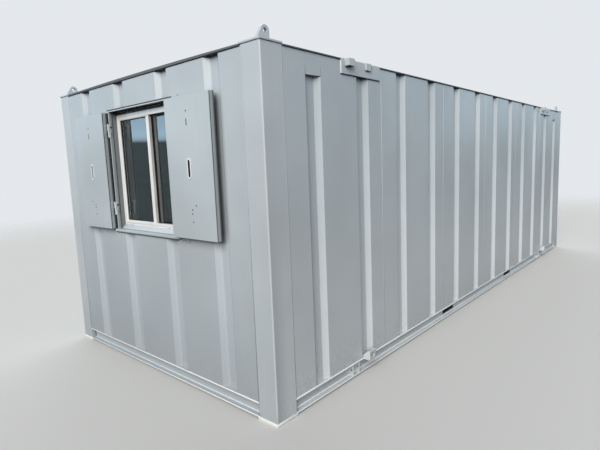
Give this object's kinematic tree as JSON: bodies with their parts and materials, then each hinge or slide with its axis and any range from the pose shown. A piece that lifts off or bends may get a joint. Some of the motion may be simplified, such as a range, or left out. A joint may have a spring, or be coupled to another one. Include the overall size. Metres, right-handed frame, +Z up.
{
  "type": "portable site cabin",
  "caption": "Box-shaped steel site cabin with ribbed walls, a window behind two hinged shutters, lifting corners, fork pockets and jacking-leg brackets.",
  "frame": {"origin": "on the ground under the middle of the cabin's box", "axes": "+X along the long sides away from the window end, +Y towards the long side with the door, +Z up"},
  "size_m": [7.378, 2.863, 2.491],
  "materials": {
    "cabin_paint": "satin",
    "shutter_paint": "satin",
    "door_paint": "satin",
    "roof_steel": "satin",
    "underside_steel": "matte",
    "hinge_steel": "satin",
    "handle_metal": "satin",
    "window_white": "gloss",
    "sash_dark": "satin",
    "window_glass": "gloss",
    "deck_board": "matte",
    "lining_board": "matte"
  },
  "bodies": {
    "cabin": {"base_rail_front": "cabin_paint", "base_rail_back": "cabin_paint", "base_rail_window_end": "cabin_paint", "base_rail_plain_end": "cabin_paint", "fork_pocket_left": "cabin_paint", "fork_pocket_right": "cabin_paint", "floor_bearers": "underside_steel", "floor_deck": "deck_board", "foot_plates": "cabin_paint", "corner_post_front_left": "cabin_paint", "corner_post_front_right": "cabin_paint", "corner_post_back_left": "cabin_paint", "corner_post_back_right": "cabin_paint", "lifting_corner_front_left": "cabin_paint", "lifting_corner_front_right": "cabin_paint", "lifting_corner_back_left": "cabin_paint", "lifting_corner_back_right": "cabin_paint", "front_wall": "cabin_paint", "back_wall": "cabin_paint", "window_end_wall": "cabin_paint", "plain_end_wall": "cabin_paint", "front_lining": "lining_board", "back_lining": "lining_board", "plain_end_lining": "lining_board", "window_end_lining": "lining_board", "ceiling": "lining_board", "top_rails": "underside_steel", "roof": "roof_steel", "window_surround": "cabin_paint", "window_sill": "cabin_paint", "window_frame": "window_white", "window_sash": "sash_dark", "window_glass": "window_glass", "shutter_hinge_pins": "hinge_steel", "leg_brackets_front": "cabin_paint", "leg_brackets_back": "cabin_paint", "leg_gussets_front": "cabin_paint", "leg_gussets_back": "cabin_paint", "leg_lugs_front": "cabin_paint", "leg_lugs_back": "cabin_paint", "door_frame": "cabin_paint", "door": "door_paint", "door_hinges": "hinge_steel", "door_handle": "handle_metal"},
    "left_shutter": {"shutter_left": "shutter_paint", "shutter_left_hinges": "hinge_steel"},
    "right_shutter": {"shutter_right": "shutter_paint", "shutter_right_hinges": "hinge_steel"}
  },
  "joints": [
    {"name": "left_shutter_hinge", "type": "hinge", "parent": "cabin", "child": "left_shutter", "pos_m": [-3.6645, 0.476, 1.663], "axis": [0, 0, 1], "range_deg": [0, 180]},
    {"name": "right_shutter_hinge", "type": "hinge", "parent": "cabin", "child": "right_shutter", "pos_m": [-3.6895, -0.4315, 1.663], "axis": [0, 0, -1], "range_deg": [0, 180]}
  ]
}
